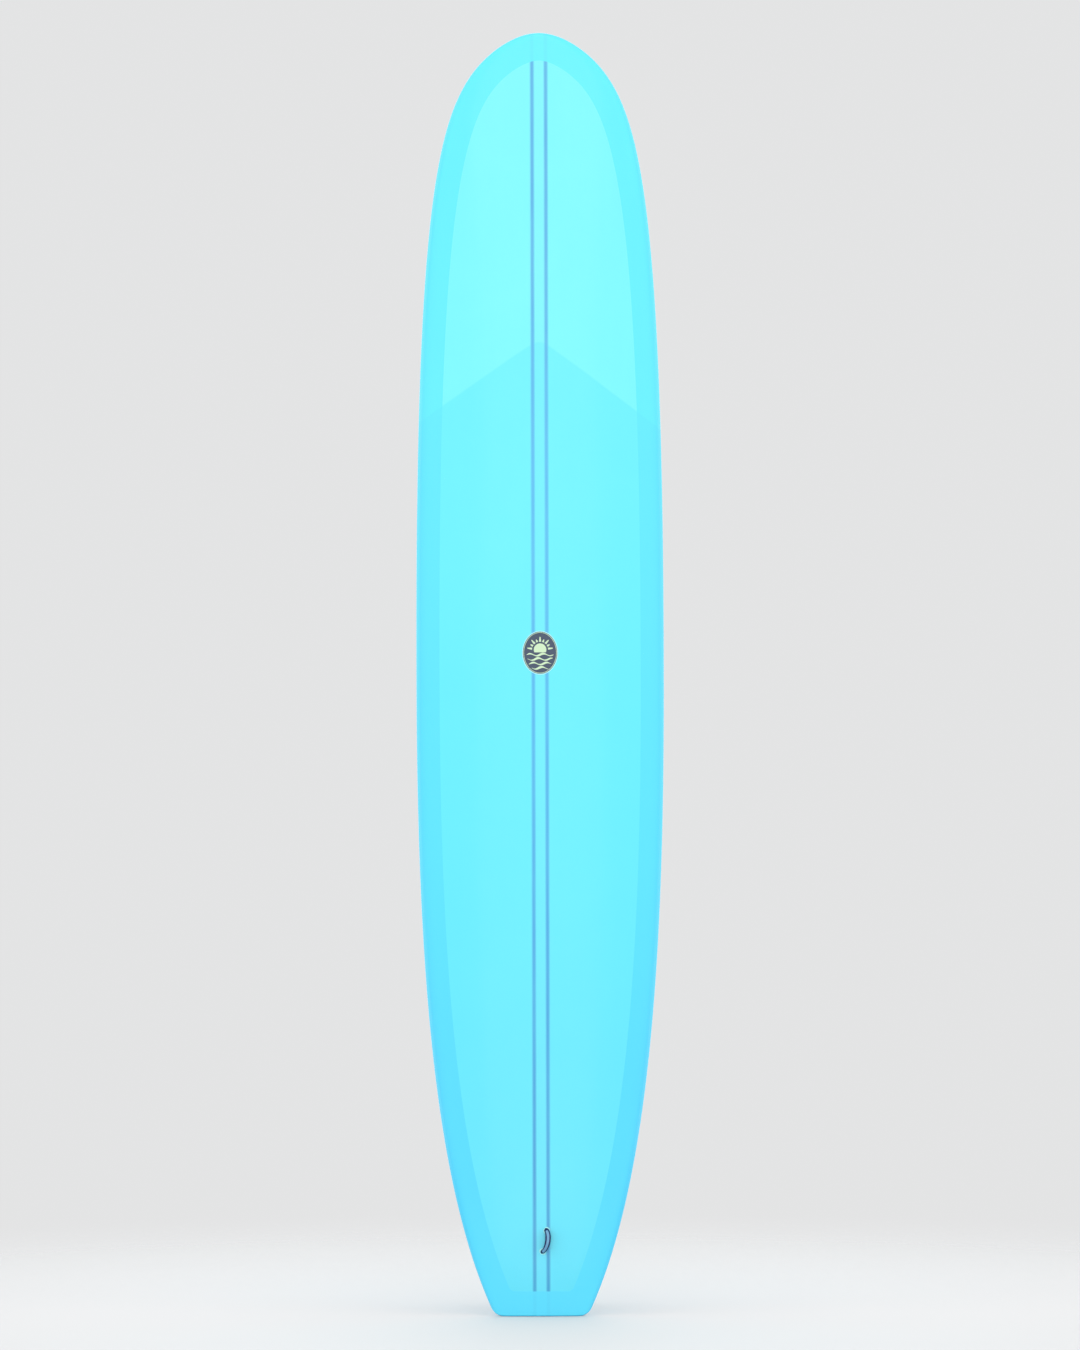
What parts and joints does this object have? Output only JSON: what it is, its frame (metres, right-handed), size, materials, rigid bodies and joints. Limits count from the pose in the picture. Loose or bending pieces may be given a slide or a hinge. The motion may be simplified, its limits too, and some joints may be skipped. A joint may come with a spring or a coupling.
{
  "type": "surfboard",
  "caption": "Longboard with a round nose, square tail, cut-lap tinted glass over stringered foam, a glass leash loop, and one fin that slides in a box.",
  "frame": {"origin": "the middle of the square tail's flat end face", "axes": "+Z from the tail up to the nose, +X to the right as the deck is faced, so the deck faces -Y and the fin points along +Y"},
  "size_m": [0.5718, 0.313, 2.9458],
  "materials": {
    "foam": "closed-cell polyurethane foam",
    "stringer_wood": "planed wood strip",
    "patch_glass": "tinted glass cloth in resin",
    "deck_tint": "pale aqua resin tint, gloss coat",
    "bottom_tint": "deeper aqua resin tint, gloss coat",
    "emblem_print": "printed rice paper under the gloss coat",
    "glass_rope": "resin-soaked glass rope",
    "box_plastic": "moulded plastic, sanded flush",
    "clear_resin": "clear bedding resin",
    "fin_glass": "laid-up glass panel, polished",
    "steel": "stainless"
  },
  "bodies": {
    "board": {"foam_left_tail": "foam", "foam_left_middle": "foam", "foam_left_nose": "foam", "foam_center": "foam", "foam_right_tail": "foam", "foam_right_middle": "foam", "foam_right_nose": "foam", "stringer_left": "stringer_wood", "stringer_right": "stringer_wood", "deck_patch": "patch_glass", "fin_patch": "patch_glass", "deck_glass": "deck_tint", "bottom_glass": "bottom_tint", "deck_emblem": "emblem_print", "leash_loop": "glass_rope", "fin_box": "box_plastic", "fin_box_bed": "clear_resin"},
    "fin_unit": {"fin": "fin_glass", "fin_roll_pin": "steel", "fin_plate": "steel"},
    "screw": {"fin_screw": "steel"}
  },
  "joints": [
    {"name": "fin_slide", "type": "slide", "parent": "board", "child": "fin_unit", "axis": [0, 0.1013, 0.9949], "range_m": [-0.036, 0.014]},
    {"name": "screw_turn", "type": "hinge", "parent": "fin_unit", "child": "screw", "pos_m": [0, 0.04372, 0.34415], "axis": [0, 0.9949, -0.1013], "continuous": true}
  ]
}
